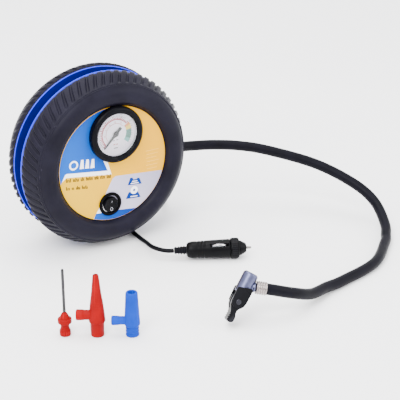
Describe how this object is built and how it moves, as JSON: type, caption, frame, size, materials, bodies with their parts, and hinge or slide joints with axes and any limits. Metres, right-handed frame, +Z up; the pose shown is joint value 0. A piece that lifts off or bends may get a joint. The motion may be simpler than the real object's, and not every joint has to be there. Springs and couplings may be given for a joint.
{
  "type": "portable tire inflator",
  "caption": "Wheel-shaped portable air pump with dial gauge, rocker switch, air hose with lever chuck, power cord with socket plug, and loose adapter nozzles.",
  "frame": {"origin": "on the ground, at the middle of the flat foot under the wheel", "axes": "+Z up; the wheel's axis runs along Y and its dial side faces -Y; +X is to the right as the dial is read"},
  "size_m": [0.3636, 0.3604, 0.1676],
  "materials": {
    "shell_black": "moulded, slightly satin",
    "panel_black": "fine moulded grain",
    "screw_steel": "zinc plated",
    "band_blue": "deep blue, glossy",
    "lip_blue": "blue, glossy",
    "foot_rubber": "matt",
    "label_print": "printed film",
    "gauge_black": "satin",
    "dial_white": "printed dial",
    "needle_black": "satin black",
    "lens_clear": "clear",
    "bezel_black": "satin",
    "switch_black": "satin",
    "rocker_black": "glossy",
    "terminal_brass": "tinned",
    "pump_steel": "plain",
    "pump_black": "moulded",
    "gear_nylon": "moulded",
    "piston_white": "moulded",
    "frame_grey": "satin",
    "pump_aluminium": "cast",
    "tube_clear": "soft tube",
    "gland_black": "matt",
    "hose_rubber": "woven-look, satin",
    "ferrule_silver": "crimped",
    "chuck_zinc": "die-cast zinc, grey-blue",
    "seal_rubber": "matt",
    "pin_steel": "plain",
    "lever_black": "satin",
    "cord_rubber": "satin",
    "plug_black": "glossy",
    "tip_nickel": "nickel plated",
    "fuse_glass": "clear",
    "adapter_red": "satin",
    "needle_steel": "plain",
    "adapter_blue": "satin"
  },
  "bodies": {
    "housing": {"front_shell": "shell_black", "rear_shell": "shell_black", "rear_panel": "panel_black", "rear_screw_1": "screw_steel", "rear_screw_2": "screw_steel", "rear_screw_3": "screw_steel", "rear_screw_4": "screw_steel", "groove_ring": "band_blue", "front_lip": "lip_blue", "rear_lip": "lip_blue", "base_foot": "foot_rubber", "front_label": "label_print", "gauge_case": "gauge_black", "gauge_dial": "dial_white", "gauge_lens": "lens_clear", "gauge_bezel": "bezel_black", "switch_frame": "switch_black", "switch_terminal_1": "terminal_brass", "switch_terminal_2": "terminal_brass", "crank_axle": "pump_steel", "motor_can": "pump_steel", "motor_cap": "pump_black", "mechanism_frame": "frame_grey", "cylinder": "pump_aluminium", "cylinder_head": "pump_aluminium", "delivery_tube": "tube_clear", "gauge_tube": "tube_clear", "hose_gland": "gland_black", "air_hose": "hose_rubber", "hose_ferrule": "ferrule_silver", "chuck_body": "chuck_zinc", "chuck_seal": "seal_rubber", "chuck_pin": "pin_steel", "cord_gland": "gland_black", "power_cord_tail": "cord_rubber", "power_cord_coil": "cord_rubber", "power_cord_lead": "cord_rubber", "plug_boot": "cord_rubber", "plug_body": "plug_black", "plug_ring": "plug_black", "plug_nose": "plug_black", "tip_spring": "pin_steel", "fuse": "fuse_glass"},
    "gauge_pointer": {"gauge_needle": "needle_black"},
    "rocker": {"switch_rocker": "rocker_black"},
    "motor_rotor": {"motor_shaft": "pump_steel"},
    "crank": {"crank_gear": "gear_nylon"},
    "pump_piston": {"piston": "piston_white", "wrist_pin": "pump_steel"},
    "rod": {"connecting_rod": "pump_aluminium"},
    "lever": {"chuck_lever": "lever_black"},
    "tip": {"plug_tip": "tip_nickel"},
    "contact_upper": {"plug_contact_1": "tip_nickel"},
    "contact_lower": {"plug_contact_2": "tip_nickel"},
    "needle_adapter": {"needle_base": "adapter_red", "needle_tube": "needle_steel"},
    "cone_adapter": {"cone_nozzle": "adapter_red"},
    "blue_adapter": {"blue_nozzle": "adapter_blue"}
  },
  "joints": [
    {"name": "needle_sweep", "type": "hinge", "parent": "housing", "child": "gauge_pointer", "pos_m": [0.0022, -0.0315, 0.1134], "axis": [0, 1, 0], "range_deg": [0, 270], "stiffness_Nm_per_rad": 0.00002},
    {"name": "switch_rock", "type": "hinge", "parent": "housing", "child": "rocker", "pos_m": [-0.0049, -0.0295, 0.0452], "axis": [-1, 0, 0], "range_deg": [0, 16]},
    {"name": "crank_spin", "type": "hinge", "parent": "housing", "child": "crank", "pos_m": [0.005, 0.007, 0.09], "axis": [1, 0, 0], "continuous": true},
    {"name": "motor_spin", "type": "hinge", "parent": "housing", "child": "motor_rotor", "pos_m": [0.005, 0.007, 0.068], "axis": [1, 0, 0], "continuous": true},
    {"name": "piston_slide", "type": "slide", "parent": "housing", "child": "pump_piston", "axis": [0, 0, -1], "range_m": [0, 0.008]},
    {"name": "rod_swing", "type": "hinge", "parent": "pump_piston", "child": "rod", "pos_m": [0.013, 0.007, 0.1195], "axis": [1, 0, 0], "range_deg": [-9, 9]},
    {"name": "lever_flip", "type": "hinge", "parent": "housing", "child": "lever", "pos_m": [0.01489, -0.20848, 0.02014], "axis": [-0.3813, -0.838, 0.3904], "range_deg": [-90, 0]},
    {"name": "tip_press", "type": "slide", "parent": "housing", "child": "tip", "axis": [-0.8863, 0.4631, 0], "range_m": [0, 0.0025], "stiffness_N_per_m": 300},
    {"name": "contact_upper_press", "type": "slide", "parent": "housing", "child": "contact_upper", "axis": [0.2977, 0.5697, -0.766], "range_m": [0, 0.0012], "stiffness_N_per_m": 300},
    {"name": "contact_lower_press", "type": "slide", "parent": "housing", "child": "contact_lower", "axis": [-0.2977, -0.5697, 0.766], "range_m": [0, 0.0012], "stiffness_N_per_m": 300},
    {"name": "needle_lift", "type": "slide", "parent": "housing", "child": "needle_adapter", "axis": [0, 0, 1], "range_m": [0, 0.1]},
    {"name": "cone_lift", "type": "slide", "parent": "housing", "child": "cone_adapter", "axis": [0, 0, 1], "range_m": [0, 0.1]},
    {"name": "blue_lift", "type": "slide", "parent": "housing", "child": "blue_adapter", "axis": [0, 0, 1], "range_m": [0, 0.1]}
  ],
  "couplings": [
    {"joint": "motor_spin", "follows": "crank_spin", "ratio": -2.6667}
  ]
}
